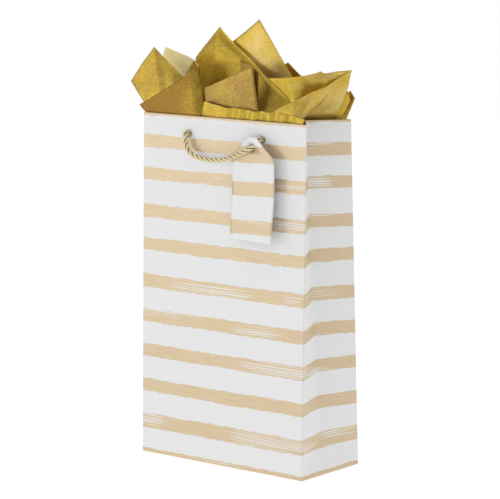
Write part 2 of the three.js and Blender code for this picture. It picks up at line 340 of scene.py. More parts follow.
def striped_paper(name):
    """White paper with stripes of tan ink laid on with a dry brush."""
    s = Shader(name)
    bristles = s.noise(s.paper_uv((0.012, 0.6)), roughness=0.6)
    fine_bristles = s.noise(s.paper_uv((0.04, 1.7)), roughness=0.65)
    lines = s.bands(s.paper_uv((0.02, 1)), 0.137, 5.0, 3.0)
    speckle = s.noise(s.paper_uv((0.5, 0.7)), detail=4.0, roughness=0.8)
    ragged = s.math("SUBTRACT", s.noise(s.paper_uv((0.12, 0.8)), detail=5.0, roughness=0.7), 0.5)
    covered = s.steps(s.math("MULTIPLY_ADD", ragged, 4.2, s.value("ink")), -0.12, 0.2)
    # the ink misses where the brush is drier than its marks are strong
    marks = s.math("MULTIPLY_ADD", bristles, 0.5, s.math("MULTIPLY", fine_bristles, 0.25))
    marks = s.math("MULTIPLY_ADD", lines, 0.25, marks)
    marks = s.math("MULTIPLY_ADD", s.math("SUBTRACT", speckle, 0.5), 0.3, marks)
    lack = s.math("SUBTRACT", s.math("MULTIPLY_ADD", s.value("dry"), 0.32, 0.18), marks)
    inked = s.math("MULTIPLY", covered, s.steps(lack, -0.01, 0.02, 1, 0))
    tone = s.math("MULTIPLY_ADD", fine_bristles, 0.4, s.math("MULTIPLY", speckle, 0.6))
    ink = s.mix(s.steps(tone, 0.35, 0.65), shade(INK, 0.86), shade(INK, 1.12))
    mottle = s.noise(s.paper_uv((0.05, 0.05)), detail=2.0)
    white = s.mix(mottle, shade(WHITE, 0.99), WHITE)
    # painted shade along the corners, darkening the paper where it turns
    fold_shade = s.math("MULTIPLY", s.value("fold"), 0.3)
    relief = s.bump(s.noise(s.paper_uv((1.4, 1.4))), 0.15, 0.04)
    return s.surface(Base_Color=s.mix(fold_shade, s.mix(inked, white, ink), FOLD_SHADE),
                     Roughness=s.steps(inked, 0, 1, 0.65, 0.4),
                     Metallic=s.math("MULTIPLY", inked, 0.3),
                     Normal=s.bump(inked, 0.25, 0.03, relief))


def plain_paper(name, color, roughness=0.8, grain=0.8):
    """Unprinted paper or card: a fibrous surface with a little mottle."""
    s = Shader(name)
    spot = s.place()
    fibre = s.noise(spot, scale=grain, detail=4.0)
    mottle = s.noise(spot, scale=0.06)
    tone = s.math("MULTIPLY_ADD", fibre, 0.5, s.math("MULTIPLY", mottle, 0.5))
    return s.surface(Base_Color=s.mix(tone, shade(color, 0.93), color),
                     Roughness=s.steps(fibre, 0.2, 0.8, roughness - 0.08, roughness),
                     Normal=s.bump(fibre, 0.3, 0.06))


def satin_cord():
    """Twisted satin yarn: fine threads that run round each strand, with shade painted dark in the
    grooves between the strands.
    """
    s = Shader("gold_cord_satin")
    threads = s.bands(s.paper_uv(turn=THREAD_ANGLE), 0.95, 1.2, 2.0)
    patches = s.noise(s.paper_uv((0.2, 0.5)))
    tone = s.math("MULTIPLY_ADD", threads, 0.5, s.math("MULTIPLY", patches, 0.5))
    # painted shade: dark where a strand's face turns in towards the others
    unshaded_crest = s.steps(s.value("out"), 1.35, 2.35)
    return s.surface(Base_Color=s.mix(unshaded_crest, CORD_GROOVE_SHADE, s.mix(tone, *CORD_SATIN)),
                     Metallic=0.45, Roughness=s.steps(threads, 0, 1, 0.36, 0.26),
                     Sheen_Weight=0.25, Normal=s.bump(threads, 0.5, 0.12))


def gold_tissue():
    """Thin gold tissue: a rubbed metallic coat over paper that lets some light through."""
    s = Shader("gold_tissue_sheet")
    spot = s.place()
    grain = s.noise(spot, scale=0.6, detail=4.0, roughness=0.75)
    cloud = s.noise(spot, scale=0.05, detail=4.0, roughness=0.6)
    tone = s.math("MULTIPLY_ADD", grain, 0.65, s.math("MULTIPLY", cloud, 0.35))
    uneven = s.steps(tone, 0.35, 0.65, -0.16, 0.16)
    # the ramp's dark end is painted shade, and its pale end is partly painted light
    color = s.ramp(s.math("ADD", s.value("pale_and_painted_light"), uneven), TISSUE_GOLDS_AND_SHADE)
    flecks = s.steps(s.noise(spot, scale=1.3, roughness=0.8), 0.5, 0.66)
    rubbed = s.math("MULTIPLY", flecks, s.value("rub"))
    color = s.mix(rubbed, color, RUBBED_GOLD)
    fold = s.noise(spot, scale=0.1, detail=2.0)
    s.surface(Base_Color=color, Metallic=0.8, Roughness=s.steps(rubbed, 0, 1, 0.38, 0.6),
              Normal=s.bump(grain, 0.4, 0.2, s.bump(fold, 0.3, 1.0)))
    # part of the light comes through the paper
    glow = s.node("BsdfTranslucent", Color=color)
    both = s.node("MixShader", Fac=s.steps(s.value("pale_and_painted_light"), 0.3, 1, 0.3, 0.75))
    s.feed(both.inputs[1], s.main.outputs[0])
    s.feed(both.inputs[2], glow.outputs[0])
    s.feed(s.output.inputs["Surface"], both.outputs[0])
    return s.material


# ---------------- the print
# A stripe is the height of its middle on the flat paper and its thickness.
STRIPES = ((335.6, 16.4), (302.9, 12.3), (271.9, 12.0), (236.0, 12.8), (203.8, 12.1),
           (167.9, 12.8), (134.3, 12.6), (100.5, 12.4), (66.3, 12.5), (31.2, 14.4), (-1.5, 11.5))
WAVER = 0.9  # about how far a stripe's edges stray
# Where the brush ran dry: stripe, middle along the paper, half length, place across the stripe
# from -1 at its lower edge to 1 at its upper edge, half width of the same, and how dry.
DRY_PATCHES = ((1, 40, 24, -0.9, 0.4, 0.8), (1, 252, 16, 1.0, 0.4, 1.1),
               (2, 96, 14, 0.3, 0.5, 0.8), (2, 178, 30, 0.0, 0.8, 0.75), (2, 250, 16, 0.0, 1.1, 1.1),
               (3, 60, 60, 1.0, 0.3, 0.7), (3, 180, 32, 0.1, 0.9, 1.0), (3, 250, 14, 1.0, 0.5, 1.1),
               (5, 84, 62, -0.3, 1.0, 0.95), (5, 182, 14, 0.0, 0.9, 0.85), (5, 236, 44, 0.0, 1.0, 0.75),
               (6, 30, 60, 0.6, 0.8, 0.85), (6, 140, 34, -0.2, 0.8, 0.95), (6, 225, 30, 1.0, 0.4, 0.8),
               (7, 165, 62, 0.0, 1.0, 1.0), (7, 232, 28, -0.6, 0.6, 0.95),
               (9, 12, 24, 0.3, 1.0, 0.95), (9, 165, 66, 0.0, 1.0, 1.0), (9, 258, 32, 0.5, 0.8, 0.95),
               (10, 90, 120, 1.0, 0.6, 0.6),
               (2, 360, 50, 0.2, 0.7, 0.9), (4, 420, 60, 0.0, 0.8, 0.85), (6, 340, 56, 0.1, 0.8, 0.9),
               (8, 400, 70, 0.2, 0.8, 0.9), (3, 500, 36, 0.3, 0.8, 0.9), (7, 520, 40, 0.0, 0.9, 0.9))


def wobble(s, seed):
    """The slow, seeded waver of a stripe's edge along the paper."""
    rng = np.random.default_rng(seed)
    total = np.zeros(np.shape(s))
    for turns in (3, 7, 13, 24, 41):
        size = rng.uniform(0.4, 1) / turns ** 0.35
        total = total + size * np.sin(2 * math.pi * (turns * s / ROUND + rng.uniform()))
    return total * WAVER / 2


def ink_depth(s, v, stripes=STRIPES, seed=0):
    """How far inside the nearest stripe's edge a point on the paper is, less than 0 outside."""
    depth = np.full(np.shape(s), -1000.0)
    for i, (middle, thickness) in enumerate(stripes):
        upper = middle + thickness / 2 + wobble(s, seed + 2 * i)
        lower = middle - thickness / 2 + wobble(s, seed + 2 * i + 1)
        depth = np.maximum(depth, np.minimum(upper - v, v - lower))
    return depth


def dryness(s, v, patches=DRY_PATCHES, stripes=STRIPES):
    """How dry the brush was at a point on the paper, 0 to about 1."""
    total = np.zeros(np.shape(s))
    for stripe, middle, reach, across, width, strength in patches:
        height, thickness = stripes[stripe]
        along = (s - middle) / reach
        up = ((v - height) / (thickness / 2) - across) / width
        total = np.maximum(total, strength * np.exp(-along ** 4 - up ** 4))
    return total


def print_on(piece, place, corners, stripes=STRIPES, patches=DRY_PATCHES, seed=0):
    """Gives a paper piece the print's values and the flat paper's coordinates."""
    set_values(piece, "ink", ink_depth(place[:, 0], place[:, 1], stripes, seed))
    set_values(piece, "dry", dryness(place[:, 0], place[:, 1], patches, stripes))
    set_uv(piece, corners)


# ---------------- the folded bag
def side_point(a, z):
    """A side panel: a mm of paper from its front corner, as x inward from the corner and y."""
    level = np.maximum(z, APEX)
    half_depth = (back_y(level) - front_y(level)) / 2
    inset = np.sqrt(np.maximum(SIDE ** 2 - half_depth ** 2, 0))
    crease_y = (front_y(z) + back_y(z)) / 2
    near = np.minimum(a, DEPTH - a)
    low = np.minimum(z, APEX)
    on_wall = np.minimum(near, low) / SIDE  # the triangle at the base starts past this
    edge_y = np.where(a < SIDE, front_y(z), back_y(z))
    x = inset * on_wall
    y = edge_y + (crease_y - edge_y) * on_wall
    # across the base triangle, y runs evenly from the front diagonal to the rear one
    in_triangle = near > low
    front_diagonal = front_y(z) + (crease_y - front_y(z)) * low / SIDE
    rear_diagonal = back_y(z) + (crease_y - back_y(z)) * low / SIDE
    share = (a - low) / np.maximum(DEPTH - 2 * low, 1e-6)
    across = front_diagonal + (rear_diagonal - front_diagonal) * share
    return x, np.where(in_triangle, across, y)


def section(s, z):
    """A point of the sharp-edged wall, s mm round from the front's left corner, at height z."""
    s = np.mod(s, ROUND)
    right_in, right_y = side_point(np.clip(s - RIGHT_SIDE, 0, DEPTH), z)
    left_in, left_y = side_point(np.clip(ROUND - s, 0, DEPTH), z)
    panels = [s < RIGHT_SIDE, s < BACK, s < LEFT_SIDE]
    x = np.select(panels, [s - HALF, HALF - right_in, HALF + BACK - s], left_in - HALF)
    y = np.select(panels, [front_y(z), right_y, back_y(z)], left_y)
    return x, y


def corner_distance(s):
    """Paper between s and the nearest corner of the bag."""
    corners = np.array([0, RIGHT_SIDE, BACK, LEFT_SIDE, ROUND])
    return np.min(np.abs(np.mod(s, ROUND)[..., None] - corners), axis=-1)


def rim_radius(s):
    """Half the rim's thickness: the fold is pinched at the bag's corners."""
    s = np.mod(s, ROUND)
    on_side = ((s > RIGHT_SIDE) & (s < BACK)) | (s > LEFT_SIDE)
    full = np.where(on_side, SIDE_RIM_RADIUS, RIM_RADIUS)
    return CORNER_RIM_RADIUS + (full - CORNER_RIM_RADIUS) * smooth(corner_distance(s), 1, 7)


def sharp_wall(s, v):
    """The paper's outer face before its folds are softened, v mm up the sheet."""
    radius = rim_radius(s)
    past = v - (HEIGHT - radius)
    turn = np.clip(past / radius, 0, math.pi)
    z = np.where(past > 0, HEIGHT - radius + radius * np.sin(turn), v)
    z = z - np.maximum(past - math.pi * radius, 0)
    level = np.maximum(z, 0)
    behind = np.where(past > 0, radius * (1 - np.cos(turn)), 0) + bulge(s, level)
    x, y = section(s, level)
    # the wall's direction here, to move the point square to it
    x0, y0 = section(s - 0.25, level)
    x1, y1 = section(s + 0.25, level)
    length = np.hypot(x1 - x0, y1 - y0)
    x = x - (y1 - y0) / length * behind
    y = y + (x1 - x0) / length * behind
    under = np.clip(-v, 0, CURL)
    return np.stack([x * (1 - under / HALF), y * (1 - under / SIDE), level], axis=-1)


def bulge(s, z):
    """Slight unevenness of the panels, in mm inwards, none near corners and the base."""
    calm = smooth(corner_distance(s), 2, 30) * smooth(z, 10, 60) * smooth(HEIGHT - z, 8, 50)
    slow = np.sin(s / 31 + 1.3) * np.sin(z / 47 + 0.4) + 0.6 * np.sin(s / 17 + z / 29)
    return BULGE * calm * slow


def wall(s, v):
    """The outer face with softened folds: the mean of the sharp wall over a small patch."""
    total = 0
    offsets = np.linspace(-1, 1, 5)
    for ds in offsets * SOFTEN_ROUND:
        for dv in offsets * SOFTEN_UP:
            total = total + sharp_wall(s + ds, v + dv)
    return total / len(offsets) ** 2


# Places of the mesh's points from a corner to the middle of a side, and up the base triangle,
# which are the same so that the base creases run from point to point.
CLOSE = (0, 0.35, 0.7, 1.2, 2, 3.5, 5.5, 8, 11, 14.5, 18, 21.5, 25, 28.5, 32, 35.5, 38.5, 40.5, 42,
         42.8, 43.3, 43.65, 44)
RIM_ROWS = (321.5, 325, 327, 328.3, *np.arange(329, 332.6, 0.3), 333.2, 334.5, 337, 339.8)
PANEL_STEP = 4.0
AROUND_HOLE = (-5, -2.5, 0, 2.5, 5)
HOLE_MARGIN = 7.4  # no other columns this close to a hole's middle
FRONT_HOLES = [x + HALF for x in HOLE_X]
BACK_HOLES = [HALF - x for x in HOLE_X]
HEM_HOLE = 2 * HEIGHT - HOLE_Z + (math.pi - 2) * RIM_RADIUS  # up the sheet, past the turned rim


def panel_stops(holes):
    """Column places across a wide panel, closer at its corners and its cord holes."""
    stops = [c for c in CLOSE if c < 11]
    stops += [WIDTH - c for c in stops]
    stops += [h + d for h in holes for d in AROUND_HOLE]
    clear = np.arange(11, WIDTH - 10, PANEL_STEP)
    stops += [x for x in clear if all(abs(x - h) > HOLE_MARGIN for h in holes)]
    return np.array(sorted(stops))


def shell_columns():
    side = np.array([*CLOSE[:-1], *(DEPTH - c for c in reversed(CLOSE[1:]))])
    return np.array([*panel_stops(FRONT_HOLES)[:-1], *(RIGHT_SIDE + side),
                     *(BACK + panel_stops(BACK_HOLES))[:-1], *(LEFT_SIDE + side), ROUND])


def shell_rows():
    rows = [-CURL, -0.8, -0.4, *CLOSE, *RIM_ROWS, 356, 359.5, HEIGHT + HEM]
    rows += [v for v in np.arange(47, 324, 3.0) if abs(v - HOLE_Z) > 6]
    rows += [hole + d for hole in (HOLE_Z, HEM_HOLE) for d in AROUND_HOLE]
    return np.array(sorted(rows))


def crease_through(s, v):
    """Which diagonal a base crease takes through the cell round s and v: 1, -1, or 0 for none."""
    if 0 <= v <= APEX:
        for start in (RIGHT_SIDE, LEFT_SIDE):
            if abs(s - start - v) < 0.05:
                return 1
            if abs(start + DEPTH - s - v) < 0.05:
                return -1
    return 0


def make_shell(materials):
    """The whole paper body as one sheet: four walls, curled under below and hemmed on top."""
    rows = shell_rows()
    columns = shell_columns()
    grid = PaperGrid(np.stack(np.meshgrid(columns, rows), axis=-1), closed=True)
    for z in (HOLE_Z, HEM_HOLE):
        low = int(np.argmin(abs(rows - (z + AROUND_HOLE[0]))))
        for s in (*FRONT_HOLES, *(BACK + x for x in BACK_HOLES)):
            left = int(np.argmin(abs(columns - (s + AROUND_HOLE[0]))))
            grid.add_hole(np.array([s, z]), HOLE_RADIUS, (low, low + 4), (left, left + 4))
    grid.fill(lambda row, column: crease_through(
        (columns[column] + columns[column + 1]) / 2, (rows[row] + rows[row + 1]) / 2))
    flat = np.array(grid.points)
    shell = add_mesh("paper_body", wall(flat[:, 0], flat[:, 1]), grid.faces, materials)
    print_on(shell, flat, grid.corners)
    # where the painted shade along each corner falls
    set_values(shell, "fold", np.exp(-(corner_distance(flat[:, 0]) / FOLD_SHADE_WIDTH) ** 2))
    thicken(shell, PAPER)
    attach(shell, "root")
    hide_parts("front_panel", "back_panel", "front_hem", "back_hem", "front_rim_card",
                "back_rim_card", "seam_flap",
                *(f"{side}_{part}" for side in ("left", "right") for part in
                  ("gusset_front", "gusset_rear", "gusset_base", "hem_front", "hem_rear")))


# ---------------- cords
def along_curve(points, step):
    """The smooth curve through points, at even steps of about step, and how far along each is."""
    spans = len(points) - 1
    fine = smooth_between(points, np.linspace(0, spans, 24 * spans + 1))
    length = np.concatenate([[0], np.cumsum(np.linalg.norm(np.diff(fine, axis=0), axis=1))])
    count = max(int(round(length[-1] / step)), 2)
    at = np.linspace(0, length[-1], count + 1)
    return np.stack([np.interp(at, length, fine[:, k]) for k in range(3)], axis=1), at


def frames_along(path):
    """Two directions across the path at each point, turning as little as they can."""
    tangents = np.gradient(path, axis=0)
    tangents /= np.linalg.norm(tangents, axis=1)[:, None]
    across = np.cross(tangents[0], (0.0, 0.0, 1.0))
    if np.linalg.norm(across) < 0.1:
        across = np.cross(tangents[0], (0.0, 1.0, 0.0))
    first = []
    for tangent in tangents:
        across = across - tangent * (across @ tangent)
        across = across / np.linalg.norm(across)
        first.append(across)
    first = np.array(first)
    return first, np.cross(tangents, first)


def strand_points(core):
    """Rings of points round a strand's core."""
    u, w = frames_along(core)
    angle = 2 * math.pi * np.arange(STRAND_SIDES)[:, None] / STRAND_SIDES
    return [centre + STRAND_RADIUS * (np.cos(angle) * u[i] + np.sin(angle) * w[i])
            for i, centre in enumerate(core)]


def strand_faces(base, at):
    """Faces between the rings, with threads' coordinates along and round the strand, and ends."""
    faces = []
    corners = []
    for i in range(len(at) - 1):
        ring = base + i * STRAND_SIDES
        ahead = ring + STRAND_SIDES
        for k in range(STRAND_SIDES):
            j = (k + 1) % STRAND_SIDES
            faces.append((ring + k, ring + j, ahead + j, ahead + k))
            low, high = k * THREAD_STEP, (k + 1) * THREAD_STEP
            corners += [(at[i], low), (at[i], high), (at[i + 1], high), (at[i + 1], low)]
    for ring, order in ((base, -1), (base + (len(at) - 1) * STRAND_SIDES, 1)):
        faces.append(tuple(ring + k for k in range(STRAND_SIDES))[::order])
        corners += [(0, 0)] * STRAND_SIDES
    return faces, corners


def rope_mesh(name, route, material):
    """A rope of twisted strands along a route. Returns the piece, its path and its length."""
    path, at = along_curve(route, ROPE_STEP)
    first, second = frames_along(path)
    rings = []
    faces = []
    corners = []
    for strand in range(STRANDS):
        angle = 2 * math.pi * (strand / STRANDS + at / LAY)
        out = np.cos(angle)[:, None] * first + np.sin(angle)[:, None] * second
        new_faces, new_corners = strand_faces(len(rings) * STRAND_SIDES, at)
        faces += new_faces
        corners += new_corners
        rings += strand_points(path + STRAND_OFFSET * out)
    rings = np.array(rings)
    piece = add_mesh(name, rings.reshape(-1, 3), faces, [material])
    set_uv(piece, corners)
    from_path = rings - np.tile(path, (STRANDS, 1))[:, None]
    set_values(piece, "out", np.linalg.norm(from_path, axis=2).ravel())
    return piece, path, at[-1]


# The loops' routes from hole to hole, as in the CAD.
FRONT_LOOP = (
    (HOLE_X[0], FRONT_ELBOW_Y, HOLE_Z), (-40.9, -44.8, 308), (-38.8, -45.6, 301.2),
    (-33.8, -45.9, 295.9), (-26.5, -46, 292.8), (-17, -46.1, 291.4), (-6, -46.4, 291.2),
    (6, -47.1, 292.6), (17, -48.3, 295.4), (27, -49.2, 299), (35, -49.8, 302.2), (38.6, -49.5, 304),
    (41.5, -47.1, 306), (44, -44.7, 308), (46.4, -44, 310.4), (HOLE_X[1], FRONT_ELBOW_Y, HOLE_Z))
BACK_LOOP = (
    (HOLE_X[1], BACK_ELBOW_Y, HOLE_Z), (46.6, 37, 307), (43.5, 37.8, 300.5), (38, 38.3, 295.6),
    (30, 38.7, 292), (20, 38.9, 290), (3, 39.1, 289), (-14, 38.9, 290), (-24, 38.7, 292),
    (-32, 38.3, 295.6), (-37.5, 37.8, 300.5), (-40.6, 37, 307), (HOLE_X[0], BACK_ELBOW_Y, HOLE_Z))
# A tail's route: how far in from the elbow, and how high.
TAIL_ROUTE = ((2.9, HOLE_Z), (4.9, HOLE_Z), (7.3, 312.9), (9.6, 311.2), (10.8, 307.6), (11.1, 289),
              (11.1, 267), (11.1, 245))
KNOT_INWARD = 12.6
KNOT_Z = 239.2
KNOT_SIZE = 1.15


def make_loop(name, node, loop, inside, material):
    """A handle from the inside of one hole to the inside of the other.

    inside is the way into the bag along y, 1 or -1.
    """
    stub = CORD / 2 + 0.6
    start, end = (np.array(loop[i]) + (0, inside * stub, 0) for i in (0, -1))
    first_elbow, last_elbow = (np.array(loop[i]) + (0, inside * 0.5, 0.35) for i in (0, -1))
    route = [start, first_elbow, *loop[1:-1], last_elbow, end]
    piece, path, length = rope_mesh(name, route, material)
    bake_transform(piece)
    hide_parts(node)


def make_tail(place, label, x, elbow_y, inside, material):
    """The end of a cord inside the bag, from its hole down to its knot."""
    route = [(x, elbow_y + inside * inward, z) for inward, z in TAIL_ROUTE]
    piece, path, length = rope_mesh(f"{place}_{label}_tail", route, material)
    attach(piece, "root")
    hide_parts(f"{place}_{label}_cord_tail")
    knot = make_knot(place, label, (x, elbow_y + inside * KNOT_INWARD, KNOT_Z), material)


def make_knot(place, label, centre, material):
    """An overhand knot pulled tight: a trefoil of rope."""
    t = np.linspace(0, 2 * math.pi, 49)
    trefoil = np.stack([np.sin(t) + 2 * np.sin(2 * t), np.cos(t) - 2 * np.cos(2 * t),
                        -2.6 * np.sin(3 * t)], axis=1)
    route = centre + KNOT_SIZE * trefoil
    piece = rope_mesh(f"{place}_{label}_knot_rope", route, material)[0]
    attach(piece, "root")
    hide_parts(f"{place}_{label}_knot")
    return piece


def make_cords():
    material = satin_cord()
    make_loop("front_cord", "front_handle_loop", FRONT_LOOP, 1, material)
    make_loop("back_cord", "back_handle_loop", BACK_LOOP, -1, material)
    for place, elbow_y, inside in (("front", FRONT_ELBOW_Y, 1), ("back", BACK_ELBOW_Y, -1)):
        for label, x in zip(("left", "right"), HOLE_X):
            make_tail(place, label, x, elbow_y, inside, material)


# ---------------- gift tag
TAG_HOLE = np.array([41.5, -47.1, 306])
TAG_HALF = 26.75  # half the width; the heights below are above the hole's middle
TAG_TOP_HALF = 4.5
TAG_TOP = 9.7
TAG_SHOULDER = -9.3
TAG_BOTTOM = -87
TAG_CARD = 0.4  # thickness
TAG_HOLE_RADIUS = 3.9
TAG_HOLE_ROWS = (-7, -4.7, -2.3, 0, 2.3, 4.7, 7)
TAG_COLUMNS = np.array([-1, -0.9, -0.75, -0.6, -0.4, -0.2, 0, 0.2, 0.4, 0.6, 0.75, 0.9, 1])
TAG_TURN = math.radians(-5)
TAG_BELLY = 1.2  # how far the card bends in below the hole
TAG_KICK = 2.4  # and out at the foot
TAG_TWIST = 0.8  # and how much more at the foot's right corner
TAG_STRIPES = ((-6.4, 15.0), (-38.4, 13.4), (-74.0, 13.2))
TAG_SLANT = 0.047  # the print runs up to the right across the card
TAG_PATCHES = ((2, 0, 24, 1.0, 0.45, 0.8), (2, 4, 20, -1.0, 0.5, 0.8), (0, -10, 12, -1.0, 0.4, 0.6))


def tag_curl(x, z):
    """How far the tag stands out from its flat plane: in below the hole, out at the foot."""
    down = np.clip(z / TAG_BOTTOM, 0, 1)
    belly = TAG_BELLY * np.sin(math.pi * np.clip(down * 1.25, 0, 1))
    foot = smooth(down, 0.4, 1.1) * (TAG_KICK + TAG_TWIST * x / TAG_HALF)
    return foot - belly


def tag_grid():
    """The flat card, narrower above its shoulders, with its punched hole."""
    rows = np.array([TAG_BOTTOM, *np.arange(-84, -11, 3.0), TAG_SHOULDER, *TAG_HOLE_ROWS, 8.4, TAG_TOP])
    slope = (TAG_HALF - TAG_TOP_HALF) / (TAG_TOP - TAG_SHOULDER)
    half = np.minimum(TAG_HALF, TAG_TOP_HALF + slope * (TAG_TOP - rows))
    x = half[:, None] * TAG_COLUMNS
    grid = PaperGrid(np.stack([x, np.broadcast_to(rows[:, None], x.shape)], axis=-1))
    low = list(rows).index(TAG_HOLE_ROWS[0])
    grid.add_hole(np.zeros(2), TAG_HOLE_RADIUS, (low, low + 6), (3, 9))
    grid.fill()
    return grid


def make_tag():
    """The striped card, hanging from the front cord by its punched hole."""
    grid = tag_grid()
    flat = np.array(grid.points)
    x, z = flat[:, :1], flat[:, 1:]
    along = np.array([math.cos(TAG_TURN), math.sin(TAG_TURN), 0])
    out = np.array([math.sin(TAG_TURN), -math.cos(TAG_TURN), 0])
    points = TAG_HOLE + x * along + z * (0, 0, 1) + tag_curl(x, z) * out
    materials = [striped_paper("tag_card_print"), plain_paper("tag_card_back", WHITE)]
    tag = add_mesh("striped_tag", points, grid.faces, materials)
    print_on(tag, flat - x * (0, TAG_SLANT), grid.corners, TAG_STRIPES, TAG_PATCHES, seed=60)
    thicken(tag, TAG_CARD, offset=0)
    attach(tag, "gift_tag")
    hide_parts("gift_tag")


